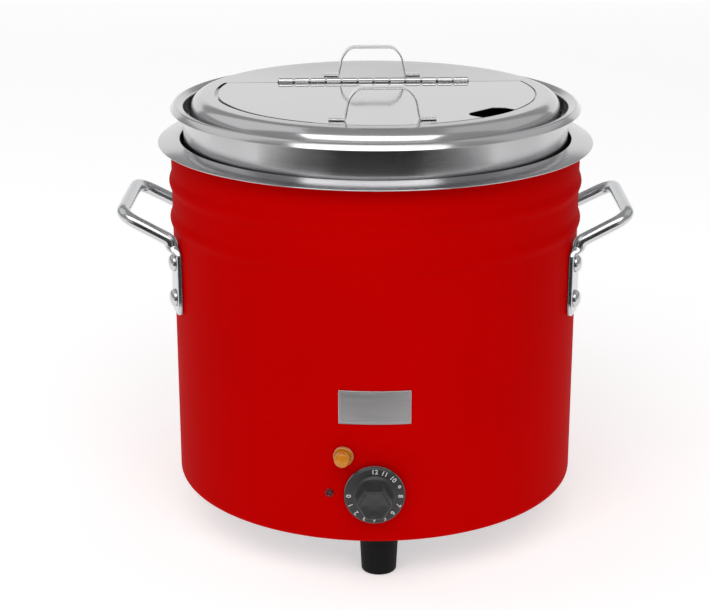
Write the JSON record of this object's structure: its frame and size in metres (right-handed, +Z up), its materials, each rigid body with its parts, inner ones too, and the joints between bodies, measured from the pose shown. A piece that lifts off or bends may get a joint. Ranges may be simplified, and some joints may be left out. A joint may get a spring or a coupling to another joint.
{
  "type": "soup kettle",
  "caption": "Round electric soup kettle: coated outer shell, lift-out inset pan in a water well, and a lid with a hinged front flap and ladle notch.",
  "frame": {"origin": "on the kettle's vertical axis, at the level of the surface that it stands on", "axes": "+Z up, -Y towards the front with the dial, +X to the viewer's right"},
  "size_m": [0.3996, 0.368, 0.37],
  "materials": {
    "shell_red": "semi-gloss red powder coat",
    "stainless": "brushed stainless steel sheet",
    "polished_aluminium": "polished",
    "black_plastic": "fine moulded texture",
    "black_rubber": "matte",
    "amber_lens": "translucent amber",
    "badge_silver": "satin anodised",
    "cream_ceramic": "matte heat-resistant",
    "brass": "plated brass",
    "cable_black": "insulated wire"
  },
  "bodies": {
    "kettle_base": {"outer_shell": "shell_red", "base_plate": "stainless", "foot_1": "black_rubber", "foot_2": "black_rubber", "foot_3": "black_rubber", "foot_screw_1": "stainless", "foot_screw_2": "stainless", "foot_screw_3": "stainless", "base_screw_1": "stainless", "base_screw_2": "stainless", "base_screw_3": "stainless", "water_vessel": "stainless", "heating_element": "cream_ceramic", "element_clamp_plate": "stainless", "element_clamp_nut": "brass", "high_limit_cutout": "black_plastic", "thermostat_body": "cream_ceramic", "thermostat_screw_1": "stainless", "thermostat_screw_2": "stainless", "thermostat_bulb": "brass", "pilot_lamp_bezel": "amber_lens", "pilot_lamp_lens": "amber_lens", "pilot_lamp_clip": "stainless", "index_rivet": "stainless", "name_badge": "badge_silver", "cable_gland": "black_plastic", "gland_nut": "black_plastic", "terminal_block": "cream_ceramic", "earth_stud": "brass", "lead_supply_to_thermostat": "cable_black", "lead_thermostat_to_element": "cable_black", "lead_supply_to_cutout": "cable_black", "right_handle": "polished_aluminium", "left_handle": "polished_aluminium", "right_handle_rivet_1": "polished_aluminium", "right_handle_rivet_2": "polished_aluminium", "right_handle_rivet_3": "polished_aluminium", "right_handle_rivet_4": "polished_aluminium", "left_handle_rivet_1": "polished_aluminium", "left_handle_rivet_2": "polished_aluminium", "left_handle_rivet_3": "polished_aluminium", "left_handle_rivet_4": "polished_aluminium"},
    "dial": {"dial_knob": "black_plastic", "thermostat_spindle": "stainless"},
    "inset": {"inset_pan": "stainless"},
    "lid": {"lid_ring": "stainless", "hinge_leaf_lid": "stainless", "hinge_pin": "stainless", "rear_handle": "stainless"},
    "flap": {"lid_flap": "stainless", "hinge_leaf_flap": "stainless", "flap_handle": "stainless"}
  },
  "joints": [
    {"name": "dial_turn", "type": "hinge", "parent": "kettle_base", "child": "dial", "pos_m": [0, -0.17, 0.0772], "axis": [0, 1, 0], "range_deg": [0, 270]},
    {"name": "inset_lift", "type": "slide", "parent": "kettle_base", "child": "inset", "axis": [0, 0, 1], "range_m": [0, 0.2]},
    {"name": "lid_lift", "type": "slide", "parent": "inset", "child": "lid", "axis": [0, 0, 1], "range_m": [0, 0.15]},
    {"name": "flap_hinge", "type": "hinge", "parent": "lid", "child": "flap", "pos_m": [-0.00181, 0.03846, 0.3473], "axis": [-0.9989, -0.0471, 0], "range_deg": [0, 125]}
  ]
}
